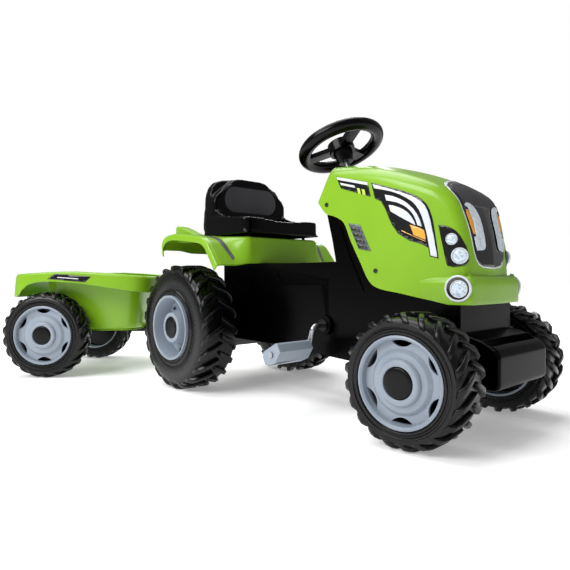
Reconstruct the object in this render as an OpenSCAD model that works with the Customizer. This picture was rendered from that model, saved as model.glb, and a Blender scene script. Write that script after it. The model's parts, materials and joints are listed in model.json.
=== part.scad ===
// Ride-on pedal tractor with an articulated two-wheel trailer.
// +X forward, +Y left, +Z up. The origin is the centre of the whole object's
// footprint box on the floor, with the trailer swung towards the right.

/* [Wheels] */
// Distance between the front and rear axle lines
wheelbase = 610; // [580:1:640]
// Radius of the front tyres
front_r = 102.6; // [98:0.1:105]
// Width of the front tyres
front_w = 88; // [84:1:90]
// Distance of the front tyre centres from the middle plane
front_y = 161; // [160:1:165]
// Radius of the front rims
front_rim_r = 70; // [66:1:72]
// Radius of the rear tyres
rear_r = 144; // [138:1:148]
// Width of the rear tyres
rear_w = 96; // [92:1:98]
// Distance of the rear tyre centres from the middle plane
rear_y = 172; // [171:1:176]
// Radius of the rear rims
rear_rim_r = 74; // [70:1:78]

/* [Body] */
// Half width of the hood
hood_half = 92; // [90:1:94]
// Half width of the black frame
frame_half = 84; // [80:1:84]
// Half width across the fenders
fender_half = 192; // [186:1:196]
// Radius of the fender arch about the rear axle
arch_r = 200; // [190:1:202]
// Wall thickness of the large mouldings
wall = 3.5; // [3:0.5:5]

/* [Steering] */
// Outer radius of the steering wheel
wheel_r = 92; // [86:1:96]
// Thickness radius of the steering wheel's rim
grip_r = 13; // [11:0.5:14]
// Backward tilt of the steering column
column_tilt = 22.8; // [22:0.1:24]
// Front wheels' angle to the left as stored
steer_rest = 6.1; // [0:0.1:8]
// Radius of the steering column rod
rod_r = 6; // [5:0.5:6]

/* [Drive] */
// Position of the pedal crank's axis along the tractor
crank_x = 363; // [356:1:370]
// Height of the pedal crank's axis
crank_z = 164; // [160:1:168]
// Throw of the pedal crank
crank_throw = 50; // [46:1:54]
// Crank's turn from upright, right pedal low and forward
crank_rest = 18; // [0:1:30]
// Teeth of the sprocket on the crank
crank_teeth = 24; // [20:1:26]
// Teeth of the sprocket on the rear axle
axle_teeth = 16; // [14:1:18]

/* [Trailer] */
// Distance of the hitch pin behind the rear axle
hitch_back = 242; // [236:1:250]
// Distance of the trailer axle behind the hitch pin
trailer_axle_back = 356; // [350:1:362]
// Angle of the trailer about the hitch pin as stored
trailer_yaw = 45.3; // [40:0.1:50]
// Radius of the trailer tyres
trailer_r = 111.4; // [108:0.1:114]
// Width of the trailer tyres
trailer_w = 66; // [62:1:70]
// Distance of the trailer tyre centres from its middle plane
trailer_y = 167; // [165:1:169]
// Radius of the trailer rims
trailer_rim_r = 76; // [72:1:78]

/* [Hidden] */
$fn = 64;
eps = 0.01;
run_gap = 0.05;                   // radial clearance of a turning shaft
stub_r = 6;                       // wheel stubs and axles
kingpin_y = 99;                   // kingpins, from the middle plane
arm_len = 50;                     // steering arms, rearwards from the kingpins
finger_len = 40;                  // crank of the steering column
steer_ratio = 0.795;              // knuckle angle for each unit of column angle
column_rest = steer_rest / steer_ratio;
wheel_x = 331;                    // middle of the steering wheel
wheel_z = 533;
column_len = 415;                 // wheel middle to the finger's crank
column_bearings = [-90, -382];    // tops of the bearings, from the wheel's middle
boss_lengths = [40, 22];          // their bosses
chain_pitch = 8;
chain_y = 34;                     // plane of the chain
sprocket_r = crank_teeth * chain_pitch / 360 * 180 / PI;
cog_r = axle_teeth * chain_pitch / 360 * 180 / PI;
hub_cap_r = 24;
pedal_y = 169;
pedal_len = 84;
pedal_pitch = 30;
arm_y = 117;                      // plane of the crank arms
tub_back = 470;                   // ends of the trailer tub behind the hitch
tub_front = 76;
tub_half = 190;
bed_z = 122;                      // top of the tub's floor
box_z = 288;                      // top of the frame between seat and pillar

front_x = 717;                    // face of the front block
rim_out = 5;                      // rear rims' stand-out from the tyres

// The footprint box's middle, from the outermost tyres
trailer_reach = trailer_axle_back + trailer_r - 5;
trailer_side = trailer_y + trailer_w / 2 - 8;
max_x = wheelbase + (front_y - kingpin_y + front_w / 2 - 20) * sin(steer_rest)
    + front_r * cos(steer_rest);
max_y = rear_y + rear_w / 2 + rim_out;
min_x = -hitch_back - trailer_reach * cos(trailer_yaw) - trailer_side * sin(trailer_yaw);
min_y = -trailer_reach * sin(trailer_yaw) - trailer_side * cos(trailer_yaw);
centre_x = (max_x + min_x) / 2;
centre_y = (max_y + min_y) / 2;

green = [0.55, 0.76, 0.22];
black = [0.06, 0.06, 0.07];
grey = [0.68, 0.71, 0.76];
steel = [0.62, 0.63, 0.65];

// ---- Placing ----

// From the tractor's own frame, on the floor under the rear axle
module placed() {
    translate([-centre_x, -centre_y, 0]) children();
}

// From the trailer's frame: x forward from the hitch pin, y to its left
module on_trailer() {
    placed() translate([-hitch_back, 0, 0]) rotate(trailer_yaw) children();
}

// Turned with the front wheel of one side about its kingpin
module steered(side) {
    placed() translate([wheelbase, side * kingpin_y, 0]) rotate(steer_rest)
        translate([-wheelbase, -side * kingpin_y, 0]) children();
}

// Local z along the steering column, upwards, with 0 at the wheel's middle
module on_column() {
    placed() translate([wheel_x, 0, wheel_z]) rotate([0, -column_tilt, 0])
        rotate(column_rest) children();
}

// Local z outwards along a wheel's axle
module on_hub(x, y, z, side) {
    translate([x, side * y, z]) rotate([-90 * side, 0, 0]) children();
}

// A side outline in x and z, extruded across the tractor between two y values
module across(y0, y1) {
    translate([0, y1, 0]) rotate([90, 0, 0]) linear_extrude(y1 - y0) children();
}

module both_sides() {
    children();
    mirror([0, 1, 0]) children();
}

// ---- Wheels ----

// Carcass open towards the rim, outer radius r and width w
module tyre(r, w, bore) {
    h = w / 2;
    t = 5;
    rotate_extrude($fn = 96) polygon([
        [bore, -h + 3], [bore + 8, -h], [r - 18, -h], [r - 5, -h + 8], [r, -h + 20],
        [r, h - 20], [r - 5, h - 8], [r - 18, h], [bore + 8, h], [bore, h - 3],
        [bore, h - 9], [bore + 9, h - t], [r - 20, h - t], [r - 9, h - 12],
        [r - 8, 0], [r - 9, 12 - h], [r - 20, t - h], [bore + 9, t - h],
        [bore, 9 - h]]);
}

// Dished disc with six lens-shaped windows, for the front and trailer wheels
module dished_rim(r, w) {
    h = w / 2;
    k = r / 70;
    difference() {
        rotate_extrude($fn = 96) polygon([
            [stub_r + run_gap, -h + 6], [16, -h + 6], [16, h - 18], [48 * k, h - 18],
            [60 * k, h - 20], [r - 4, h - 22], [r - 4, -h + 2], [r, -h + 2],
            [r, h - 3], [r - 3, h - 2], [r - 6, h - 5], [r - 7, h - 14],
            [50 * k, h - 14], [44 * k, h - 8], [30, h - 6], [28, h - 3],
            [24.5, h - 3], [24.5, h - 10], [stub_r + run_gap, h - 10]]);
        for (a = [0 : 60 : 300]) rotate(a + 30) intersection() {
            translate([0, 0, -eps]) cylinder(h = h, r = r - 7.5);
            translate([76 * k, 0, 0]) cylinder(h = h, r = 23.5 * k);
        }
    }
}

// Deep dish with a tall middle boss, for the rear wheels
module deep_rim(r, w) {
    h = w / 2;
    difference() {
        rotate_extrude($fn = 96) polygon([
            [stub_r + run_gap, -h + 6], [18, -h + 6], [18, h - 46], [46, h - 46],
            [r - 9, h - 40], [r - 4, h - 30], [r - 4, -h + 2], [r, -h + 2],
            [r, h + rim_out - 1], [r - 2, h + rim_out], [r - 5, h + rim_out - 2], [r - 10, h - 34],
            [44, h - 40], [38, h - 14], [34, h - 2], [25.5, h - 2],
            [25.5, h - 10], [stub_r + run_gap, h - 10]]);
        for (a = [0 : 60 : 300]) rotate(a + 15) translate([r - 20, -5, 0])
            cube([8, 10, h - 20]);
    }
}

// Domed cap that snaps into the hub and hides the axle's end clip
module cap(r, w, rise) {
    translate([0, 0, w / 2 - 9.9]) rotate_extrude() polygon([
        [r - 3, 0], [r, 0], [r, rise], [r - 2, rise + 2], [r - 8, rise + 2.6],
        [0, rise + 2.6], [0, rise], [r - 8, rise], [r - 3, rise - 1]]);
}

module front_tyre(side) {
    color(black) steered(side) on_hub(wheelbase, front_y, front_r, side)
        tyre(front_r, front_w, front_rim_r);
}
module front_rim(side) {
    color(grey) steered(side) on_hub(wheelbase, front_y, front_r, side)
        dished_rim(front_rim_r, front_w);
}
module front_cap(side) {
    color(black) steered(side) on_hub(wheelbase, front_y, front_r, side)
        cap(hub_cap_r, front_w, 8);
}
module rear_tyre(side) {
    color(black) placed() on_hub(0, rear_y, rear_r, side)
        tyre(rear_r, rear_w, rear_rim_r);
}
module rear_rim(side) {
    color(grey) placed() on_hub(0, rear_y, rear_r, side) deep_rim(rear_rim_r, rear_w);
}
module rear_cap(side) {
    color(black) placed() on_hub(0, rear_y, rear_r, side) cap(hub_cap_r + 1, rear_w, 8);
}
module trailer_tyre(side) {
    color(black) on_trailer() on_hub(-trailer_axle_back, trailer_y, trailer_r, side)
        tyre(trailer_r, trailer_w, trailer_rim_r);
}
module trailer_rim(side) {
    color(grey) on_trailer() on_hub(-trailer_axle_back, trailer_y, trailer_r, side)
        dished_rim(trailer_rim_r, trailer_w);
}
module trailer_cap(side) {
    color(black) on_trailer() on_hub(-trailer_axle_back, trailer_y, trailer_r, side)
        cap(hub_cap_r, trailer_w, 7);
}

// ---- Black frame ----

// Side outline of the frame, drawn in by t
function frame_outline(t) = [
    [24 + t, 336 - t], [140 - t, 336 - t], [146 - t, box_z - t], [392 + t, box_z - t],
    [383 + t, 330], [370 + t, 378], [370 + t, 424 - t], [424 - t, 424 - t],
    [446 - t, 372], [478 - t, 300 - t], [520, 262 - t], [654 - t, 231 - t],
    [654 - t, 168 + t], [520, 168 + t], [500 - t, 152], [500 - t, 98 + t],
    [413, 101 + t], [213, 113 + t], [60, 115 + t], [24, 90 + t], [-24, 90 + t],
    [-62 + t, 128], [-62 + t, 160], [-24, 204 - t], [24 + t, 214]];

module main_frame() {
    color(black) placed() difference() {
        union() {
            across(-frame_half, frame_half) polygon(frame_outline(0));
            // Housing tubes of the rear axle
            both_sides() on_hub(0, frame_half - 2, rear_r, 1) cylinder(h = 34, r = 34);
            // Bosses of the crank bearings
            both_sides() on_hub(crank_x, frame_half - 2, crank_z, 1) cylinder(h = 8, r = 20);
            column_bosses();
            // Tail that carries the hitch
            translate([-hitch_back - 16, -26, 132]) cube([hitch_back - 40, 52, 24]);
        }
        difference() {
            across(-frame_half + wall, frame_half - wall) polygon(frame_outline(4));
            // Floor plate of the column's lower bearing
            translate([440, -frame_half, 172]) cube([60, 2 * frame_half, 6]);
            column_bosses();
        }
        // Open underside
        translate([70, -frame_half + wall, 80]) cube([424, 2 * (frame_half - wall), 50]);
        // Step recesses on both sides
        both_sides() across(frame_half - 2, frame_half + 1) polygon([
            [214, 276], [384, 276], [372, 250], [352, 242], [236, 242]]);
        both_sides() across(frame_half - 2, frame_half + 1) polygon([
            [402, 356], [410, 356], [436, 298], [470, 232], [460, 232], [426, 298]]);
        // Axle, crank and column bushes
        on_hub(0, -200, rear_r, 1) cylinder(h = 400, r = 12);
        on_hub(crank_x, -200, crank_z, 1) cylinder(h = 400, r = 12);
        on_column_axis() translate([0, 0, -430]) cylinder(h = 500, r = 12);
        on_column_axis() for (s = column_bearings) translate([0, 0, s]) cylinder(h = 8, r = 15.4);
        // Windows for the tie rod
        translate([440, -frame_half - 1, 98 - eps]) cube([62, 2 * frame_half + 2, 36]);
        // Hitch pin hole
        translate([-hitch_back, 0, 120]) cylinder(h = 50, r = 7 + run_gap);
        // Slot that the trailer's drawbar eye swings in
        translate([-hitch_back - 20, -30, 138.7]) cube([50, 60, 10.6]);
        for (p = [[376, 398], [494, 269]]) both_sides()
            on_hub(p[0], frame_half - 10, p[1], 1) cylinder(h = 20, r = 2.4);
    }
}

// Bosses that hold the column's two bushes
module column_bosses() {
    on_column_axis() for (i = [0, 1]) translate([0, 0, column_bearings[i] - boss_lengths[i]])
        cylinder(h = boss_lengths[i], r = 17);
}

module on_column_axis() {
    translate([wheel_x, 0, wheel_z]) rotate([0, -column_tilt, 0]) children();
}

// Front block with the kingpin forks
module axle_carrier() {
    block = [[500, 152], [520, 168], [664, 168], [692, 160], [712, 148], [front_x, 138], [front_x, 92],
        [710, 86], [640, 84], [520, 84], [500, 98]];
    color(black) placed() difference() {
        union() {
            across(-frame_half, frame_half) polygon(block);
            for (z = [70, 128]) both_sides() hull_free_fork(z);
        }
        // Hollow behind the front wall, open to the rear for the tie rod
        translate([499, -frame_half + wall, 88]) cube([201, 2 * (frame_half - wall), 72]);
        // Room for the stub axles and steering arms between the forks
        translate([499, -130, 88 + eps]) cube([146, 260, 40 - 2 * eps]);
        both_sides() translate([wheelbase, kingpin_y, 60])
            cylinder(h = 120, r = stub_r + run_gap);
        translate([wheelbase - 22, -frame_half + wall, 60]) cube([44, 2 * (frame_half - wall), 30]);
    }
}

// One plate of a fork, reaching out to the kingpin
module hull_free_fork(z) {
    h = z < 100 ? 18 : 34;
    translate([wheelbase - 15, frame_half - 20, z]) cube([30, kingpin_y - frame_half + 20, h]);
    translate([wheelbase, kingpin_y, z]) cylinder(h = h, r = 15);
}

// ---- Hood ----

// One station: x, half width, shoulder height, crown height
hood_stations = [[345, 34, 478, 484], [364, 64, 474, 482], [386, 91, 466, 479],
    [470, 92, 455, 467], [530, 92, 439, 449], [590, 91, 416, 426], [628, 84, 397, 406],
    [650, 72, 374, 380], [660, 66, 330, 334], [664, 62, 250, 250]];

// Closed outer form, grown by e; a negative e gives the inner face
module hood_form(e) {
    hull() {
        for (s = hood_stations) translate([s[0] + (s[0] > 500 ? e : 0), 0, 0])
            rotate([90, 0, 90]) linear_extrude(0.2) {
                for (m = [-1, 1]) translate([m * (s[1] + e - 16), s[2] + e - 16])
                    circle(r = 16, $fn = 32);
                translate([-24, s[3] + e - 30]) square([48, 30]);
                translate([-s[1] - e, 200]) square([2 * (s[1] + e), 20]);
            }
        translate([349, -hood_half - e, 380]) cube([1, 2 * (hood_half + e), 26]);
    }
}

// Bumper across the foot of the nose, with rounded corners
module bumper_form(e) {
    r = 26;
    for (m = [-1, 1]) translate([675 - r, m * (hood_half - r), 205 - e])
        cylinder(h = 52 + 2 * e, r = r + e);
    translate([590, -hood_half - e, 205 - e]) cube([675 - r - 590, 2 * (hood_half + e), 52 + 2 * e]);
    translate([590, -hood_half + r, 205 - e]) cube([85 + e, 2 * (hood_half - r), 52 + 2 * e]);
}

// Side outline that trims the hood's rear and lower edge
hood_trim = [[300, 520], [349, 406], [374, 381], [400, 373], [420, 359], [437, 324],
    [460, 283], [475, 254], [497, 238], [546, 230], [636, 215], [675, 213],
    [700, 213], [700, 520]];

module hood() {
    color(green) placed() difference() {
        intersection() {
            union() { hood_form(0); bumper_form(0); }
            across(-120, 120) polygon(hood_trim);
        }
        hood_form(-wall);
        bumper_form(-wall);
        translate([600, -60, 190]) cube([60, 120, 70]);
        on_column_axis() translate([0, 0, -120]) cylinder(h = 120, r = 12);
        for (p = [[376, 398], [494, 269]]) both_sides()
            on_hub(p[0], hood_half - 8, p[1], 1) cylinder(h = 20, r = 2.4);
    }
}

// A skin t thick on the hood's outside, where children() cut through it
module hood_skin(t) {
    intersection() {
        difference() { hood_form(t); hood_form(0); }
        children();
    }
}

// Front outline of the grille panel in y and z
grille_outline = [[-44, 372], [-40, 300], [-34, 284], [-22, 276], [22, 276], [34, 284],
    [40, 300], [44, 372], [30, 392], [4, 424], [-4, 424], [-30, 392]];

module grille_panel() {
    color([0.1, 0.1, 0.11]) placed() hood_skin(1.2)
        translate([540, 0, 0]) rotate([90, 0, 90]) linear_extrude(140)
            polygon(grille_outline);
}

// Curved light guides down both sides of the grille
module strip_outline(y0, y1, z0, z1) {
    translate([600, 0, 0]) rotate([90, 0, 90]) linear_extrude(80)
        polygon([[y0, z1], [y0 + 3, z0], [y1, z0], [y1 - 3, z1 + 4]]);
}
module light_strips() {
    color([0.86, 0.9, 0.95]) placed() both_sides() difference() {
        hood_skin(2.4) strip_outline(26, 43, 300, 372);
        hood_form(1.2);
    }
}
module indicator_inserts() {
    color([0.9, 0.5, 0.1]) placed() both_sides() difference() {
        hood_skin(3.2) strip_outline(33, 41, 322, 366);
        hood_form(2.4);
    }
}

// ---- Lamps, on the nose's corners ----

// Local z points out of the corner at the lamp's place
module on_corner(x, y, z) {
    both_sides() translate([x, y, z]) rotate([0, 90, 60]) children();
}
module lamp(r, depth, rise) {
    rotate_extrude() polygon([[0, -depth], [r, -depth], [r, rise * 0.4], [r - 1.5, rise],
        [r - 4, rise], [r - 5, rise * 0.5], [0, rise * 0.8]]);
}
module lamp_bezels() {
    color([0.12, 0.13, 0.14]) placed() difference() {
        both_sides() hood_skin(1.2) translate([0, 60, 0]) across(0, 60) polygon([
            [620, 341], [647, 328], [662, 305], [664, 286], [655, 273], [633, 276]]);
        on_corner(640, 84, 317) translate([0, 0, -10]) cylinder(h = 30, r = 10.2);
        on_corner(650, 78, 290) translate([0, 0, -10]) cylinder(h = 30, r = 15.2);
    }
}
module upper_lamps() {
    color([0.8, 0.88, 0.92]) placed() difference() {
        on_corner(640, 84, 317) lamp(10, 4, 5);
        hood_form(0);
    }
}
module middle_lamps() {
    color([0.8, 0.88, 0.92]) placed() difference() {
        on_corner(650, 78, 290) lamp(15, 4, 6);
        hood_form(0);
    }
}
module headlights() {
    color([0.8, 0.88, 0.92]) placed() difference() {
        on_corner(656, 84, 238) lamp(25, 4, 7);
        bumper_form(0);
        hood_form(0);
    }
}
module louvre_panels() {
    color([0.2, 0.21, 0.22]) placed() both_sides() difference() {
        across(hood_half - 1, hood_half + 1.6) polygon([
            [432, 356], [464, 352], [486, 304], [458, 309]]);
        hood_form(0);
        for (n = [0 : 2]) across(hood_half + 0.6, hood_half + 2) translate([n * 8, -15 * n])
            polygon([[439, 350], [463, 347], [467, 339], [443, 341]]);
    }
}
module hood_screws() {
    color([0.1, 0.1, 0.1]) placed() both_sides() {
        for (p = [[376, 398], [494, 269]]) on_hub(p[0], frame_half - 8, p[1], 1) {
            cylinder(h = 10, r = 2.2);
            difference() {
                translate([0, 0, hood_half - frame_half + 8.1]) cylinder(h = 1.4, r = 4);
                translate([-3, -0.4, 17]) cube([6, 0.8, 2]);
            }
            cylinder(h = hood_half - frame_half + 8.2, r = 2.2);
        }
    }
}

// ---- Saddle with fenders, and seat ----

module saddle() {
    side = [[-90, 322], [-90, 352], [-70, 356], [150, 352], [150, 290], [120, 290]];
    outer_band = [[-86, 322], [-88, 350], [-62, 365], [0, 361], [60, 355], [98, 348],
        [128, 322], [150, 285], [126, 285]];
    inner_band = [[-90, 322], [-93, 386], [-84, 390], [-44, 379], [0, 363], [50, 358],
        [100, 350], [130, 325], [152, 288], [126, 288]];
    color(green) placed() difference() {
        union() {
            across(-119, 119) polygon(side);
            both_sides() across(118.5, 154) polygon(inner_band);
            both_sides() across(152, fender_half) polygon(outer_band);
        }
        // Wheel arches and the open underside
        on_hub(0, -210, rear_r, 1) cylinder(h = 420, r = arch_r, $fn = 128);
        across(-112, 112) polygon([[-86, 310], [-86, 348], [146, 348], [146, 280]]);
        // Slots for the seat's clips
        for (m = [-1, 1]) translate([-14, m * 86 - 3, 340]) cube([156, 6, 20]);
    }
}

module seat_base() {
    difference() {
        hull() {
            for (m = [-1, 1]) {
                translate([8, m * 103, 361]) cylinder(h = 44, r = 12, $fn = 32);
                translate([-10, m * 103, 361]) cylinder(h = 44, r = 12, $fn = 32);
                translate([138, m * 102, 361]) cylinder(h = 34, r = 13, $fn = 32);
            }
        }
        // Dished pan
        translate([88, 0, 860]) sphere(r = 474, $fn = 120);
        translate([-14, -107, 360]) cube([156, 214, 18]);
    }
}

module seat_back(t) {
    hull() {
        for (m = [-1, 1]) {
            translate([-22 + t, m * (113 - t), 380]) cube([26, 0.2, 10]);
            translate([2, m * (80 - t), 436]) rotate([0, 90, 0]) cylinder(h = 26, r = 33, $fn = 32);
            translate([4, m * (34 - t), 466]) rotate([0, 90, 0]) cylinder(h = 22, r = 38, $fn = 32);
        }
    }
}

module seat() {
    color(black) placed() {
        difference() {
            union() { seat_base(); seat_back(0); }
            // Recess of the back panel
            translate([24, 0, 450]) seat_panel_outline(2.2, 10);
        }
        // Flange and clips that hold the seat to the saddle
        difference() {
            translate([-24, -117, 358]) cube([178, 234, 4]);
            translate([-14, -107, 350]) cube([158, 214, 20]);
        }
        for (x = [20, 120]) for (m = [-1, 1]) translate([x, m * 86 - 2.5, 343])
            cube([12, 5, 36]);
    }
}
module seat_panel_outline(t, depth) {
    rotate([90, 0, 90]) linear_extrude(depth) {
        for (m = [-1, 1]) translate([m * 52, 0]) circle(r = 28 + t);
        translate([-52, -28 - t]) square([104, 56 + 2 * t]);
    }
}
module seat_panel() {
    color([0.24, 0.23, 0.25]) placed() translate([24, 0, 450]) seat_panel_outline(2.2, 3);
}

// ---- Steering ----

module steering_wheel() {
    ring = wheel_r - grip_r;
    color(black) on_column() {
        rotate_extrude($fn = 96) translate([ring, 0]) circle(r = grip_r, $fn = 32);
        difference() {
            union() {
                translate([0, 0, -14]) cylinder(h = 22, r = 27);
                for (a = [90, 210, 330]) rotate(a) translate([20, -12, -9])
                    cube([ring - 22, 24, 10]);
            }
            translate([0, 0, -20]) cylinder(h = 22, r = rod_r);
            translate([0, 0, 2 - eps]) cylinder(h = 10, r = 17);
        }
    }
}
module column_collar() {
    color(black) on_column() difference() {
        translate([0, 0, -38]) cylinder(h = 24, r1 = 15, r2 = 21);
        translate([0, 0, -39]) cylinder(h = 30, r = rod_r);
    }
}
module horn_button() {
    color([0.16, 0.16, 0.17]) on_column() translate([0, 0, 5.5]) difference() {
        cylinder(h = 6, r = 16.4);
        translate([0, 0, -eps]) cylinder(h = 3, r = 13.5);
    }
}

// Bent steel rod: shaft, crank at the foot, and the finger in the tie rod's slot
module steering_column() {
    color(steel) on_column() {
        translate([0, 0, -column_len]) cylinder(h = column_len + 1.9, r = rod_r);
        translate([0, 0, -column_len]) sphere(r = rod_r);
        translate([0, 0, -column_len]) rotate([0, -90, 0]) cylinder(h = finger_len, r = rod_r);
        translate([-finger_len, 0, -column_len]) sphere(r = rod_r);
        translate([-finger_len, 0, -column_len - 32]) cylinder(h = 32, r = 4);
    }
}
module column_bushes() {
    color([0.85, 0.85, 0.82]) placed() on_column_axis() for (s = column_bearings) difference() {
        union() {
            translate([0, 0, s - 16]) cylinder(h = 16, r = 12);
            translate([0, 0, s]) cylinder(h = 4, r = 15);
        }
        translate([0, 0, s - 17]) cylinder(h = 30, r = rod_r + run_gap);
    }
}

// Kingpin, stub and steering arm of one front wheel
module stub_axle(side) {
    color(steel) steered(side) {
        translate([wheelbase, side * kingpin_y, 66]) cylinder(h = 100, r = stub_r);
        translate([wheelbase, side * kingpin_y, 88.3]) cylinder(h = 39.4, r = 11);
        on_hub(wheelbase, kingpin_y, front_r, side)
            cylinder(h = front_y - kingpin_y + front_w / 2 - 10, r = stub_r);
        translate([wheelbase - arm_len, side * kingpin_y - 7, 110]) cube([arm_len, 14, 6]);
        translate([wheelbase - arm_len, side * kingpin_y, 110]) {
            cylinder(h = 6, r = 9);
            cylinder(h = 16, r = 4);
        }
    }
}

// Bowed bar between the arms, which keeps across the tractor as it moves
module tie_rod() {
    dx = arm_len * (1 - cos(steer_rest));
    dy = -arm_len * sin(steer_rest);
    pin_x = wheelbase - arm_len;
    color(steel) placed() translate([dx, dy, 116.3]) difference() {
        union() {
            for (m = [-1, 1]) {
                translate([pin_x, m * kingpin_y, 0]) cylinder(h = 5, r = 9);
                translate([pin_x - 7, m > 0 ? 60 : -kingpin_y, 0])
                    cube([14, kingpin_y - 60, 5]);
                translate([pin_x - 70, m * 60 - 8, 0]) cube([77, 16, 5]);
            }
            translate([444, -60, 0]) cube([50, 120, 5]);
        }
        for (m = [-1, 1]) translate([pin_x, m * kingpin_y, -1])
            cylinder(h = 10, r = 4 + run_gap);
        // Slot of the column's finger
        translate([448, -4.4, -1]) cube([34, 8.8, 10]);
    }
}

// ---- Pedals and drive ----

// Quarter bend of the crank's rod in the y-z plane, from +y round to +z
module bend(r, rod) {
    rotate([90, 0, 90]) rotate([0, 0, -90]) rotate_extrude(angle = 90)
        translate([r, 0]) circle(r = rod);
}

// Half of the crank: shaft, arm towards +z, and pedal pin, on the left side
module crank_half() {
    b = 10;                       // bend radius
    rod = 5.5;
    pin = pedal_y + pedal_len / 2 + 3;
    on_hub(0, 0, 0, 1) cylinder(h = arm_y - b, r = rod);
    translate([0, arm_y - b, b]) bend(b, rod);
    translate([0, arm_y, b]) cylinder(h = crank_throw - 2 * b, r = rod);
    translate([0, arm_y + b, crank_throw - b]) rotate([180, 0, 0]) bend(b, rod);
    on_hub(0, arm_y + b, crank_throw, 1) cylinder(h = pin - arm_y - b, r = rod);
}

module crank() {
    color(steel) placed() translate([crank_x, 0, crank_z]) rotate([0, crank_rest, 0]) {
        crank_half();
        rotate([180, 0, 0]) crank_half();
    }
}

// Disc with n square-cut teeth for the chain
module sprocket(n, r, bore) {
    difference() {
        union() {
            cylinder(h = 4, r = r - 2.5, center = true);
            for (i = [0 : n - 1]) rotate(i * 360 / n) translate([r - 3.5, -1.2, -1.5])
                cube([4.2, 2.4, 3]);
            cylinder(h = 16, r = 12, center = true);
        }
        cylinder(h = 20, r = bore, center = true);
    }
}
module crank_sprocket() {
    color([0.8, 0.8, 0.78]) placed() on_hub(crank_x, chain_y, crank_z, 1)
        sprocket(crank_teeth, sprocket_r, 5.5);
}
module axle_sprocket() {
    color([0.8, 0.8, 0.78]) placed() on_hub(0, chain_y, rear_r, 1)
        sprocket(axle_teeth, cog_r, stub_r);
}

// Outline of a band round both sprockets, in x and z from the rear axle
function chain_outline(grow) =
    let (lift = atan2(crank_z - rear_r, crank_x),
        span = norm([crank_x, crank_z - rear_r]),
        lean = 90 + asin((sprocket_r - cog_r) / span))
    concat(
        [for (i = [0 : 12]) let (a = lift + lean + i * (360 - 2 * lean) / 12)
            (cog_r + grow) * [cos(a), sin(a)]],
        [for (i = [0 : 12]) let (a = lift - lean + i * 2 * lean / 12)
            span * [cos(lift), sin(lift)] + (sprocket_r + grow) * [cos(a), sin(a)]]);

module chain() {
    color([0.3, 0.3, 0.31]) placed() translate([0, 0, rear_r]) difference() {
        across(chain_y - 3, chain_y + 3) polygon(chain_outline(4.8));
        across(chain_y - 4, chain_y + 4) polygon(chain_outline(1.6));
    }
}

// Hexagonal block, front edge up
module pedal(side) {
    color([0.62, 0.66, 0.72]) placed() translate([crank_x, 0, crank_z])
        rotate([0, crank_rest, 0]) translate([0, side * pedal_y, side * crank_throw])
        rotate([0, -pedal_pitch - crank_rest, 0]) difference() {
            across(-pedal_len / 2, pedal_len / 2) polygon([
                [-25, 6], [-18, 14], [22, 13], [25, 9], [25, -6], [3, -17],
                [-20, -14], [-25, -9]]);
            rotate([90, 0, 0]) cylinder(h = pedal_len + 2, r = 5.5 + run_gap, center = true);
            for (m = [-1, 1]) translate([-18, m * 34 - 2, -20]) cube([20, 4, 8]);
        }
}

module crank_bushes() {
    color([0.85, 0.85, 0.82]) placed() both_sides()
        on_hub(crank_x, frame_half - 6, crank_z, 1) bush(12, 5.5, 14);
}
module axle_bushes() {
    color([0.85, 0.85, 0.82]) placed() both_sides()
        on_hub(0, frame_half + 16, rear_r, 1) bush(12, stub_r, 18);
}
module bush(r, bore, h) {
    difference() {
        cylinder(h = h, r = r);
        translate([0, 0, -1]) cylinder(h = h + 2, r = bore + run_gap);
    }
}
module rear_axle() {
    color(steel) placed() on_hub(0, -rear_y - rear_w / 2 + 10, rear_r, 1)
        cylinder(h = 2 * rear_y + rear_w - 20, r = stub_r);
}

// ---- Hitch and trailer ----

module hitch_pin() {
    color(steel) placed() translate([-hitch_back, 0, 116]) {
        cylinder(h = 48, r = 7);
        translate([0, 0, 43]) cylinder(h = 5, r = 12);
    }
}
module hitch_clip() {
    color(steel) placed() translate([-hitch_back, 0, 122]) difference() {
        cylinder(h = 2.5, r = 12);
        translate([0, 0, -1]) cylinder(h = 5, r = 7);
        translate([0, -5, -1]) cube([14, 10, 5]);
    }
}

// Drawbar, its eye on the hitch pin and the two brackets of the trailer axle
module drawbar() {
    color(black) on_trailer() difference() {
        union() {
            translate([0, 0, 139]) cylinder(h = 10, r = 18);
            translate([-70, -12, 139]) cube([60, 24, 10]);
            translate([-96, -16, 104]) cube([34, 32, 45]);
            translate([-trailer_axle_back - 24, -16, 104]) cube([300, 32, 14]);
            translate([-trailer_axle_back - 18, -124, 92]) cube([36, 248, 26]);
            both_sides() on_hub(-trailer_axle_back, 115, trailer_r, 1)
                cylinder(h = 9, r = 18);
        }
        translate([0, 0, 130]) cylinder(h = 30, r = 7 + run_gap);
        on_hub(-trailer_axle_back, -150, trailer_r, 1) cylinder(h = 300, r = stub_r);
    }
}
module trailer_axle() {
    color(steel) on_trailer() on_hub(-trailer_axle_back, -trailer_y - trailer_w / 2 + 10,
        trailer_r, 1) cylinder(h = 2 * trailer_y + trailer_w - 20, r = stub_r);
}
module drawbar_screws() {
    color([0.1, 0.1, 0.1]) on_trailer() for (x = [-trailer_axle_back + 80, -140])
        translate([x, 0, 101]) difference() {
            cylinder(h = 3, r = 5);
            translate([-3, -0.4, -eps]) cube([6, 0.8, 1]);
        }
}

// Rounded outline of the tub at one height; rear corners have radius rear
module tub_slab(x0, x1, half, r, rear, z) {
    for (m = [-1, 1]) {
        translate([x0 + rear, m * (half - rear), z]) cylinder(h = 0.2, r = rear, $fn = 32);
        translate([x1 - r, m * (half - r), z]) cylinder(h = 0.2, r = r, $fn = 32);
    }
}

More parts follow.
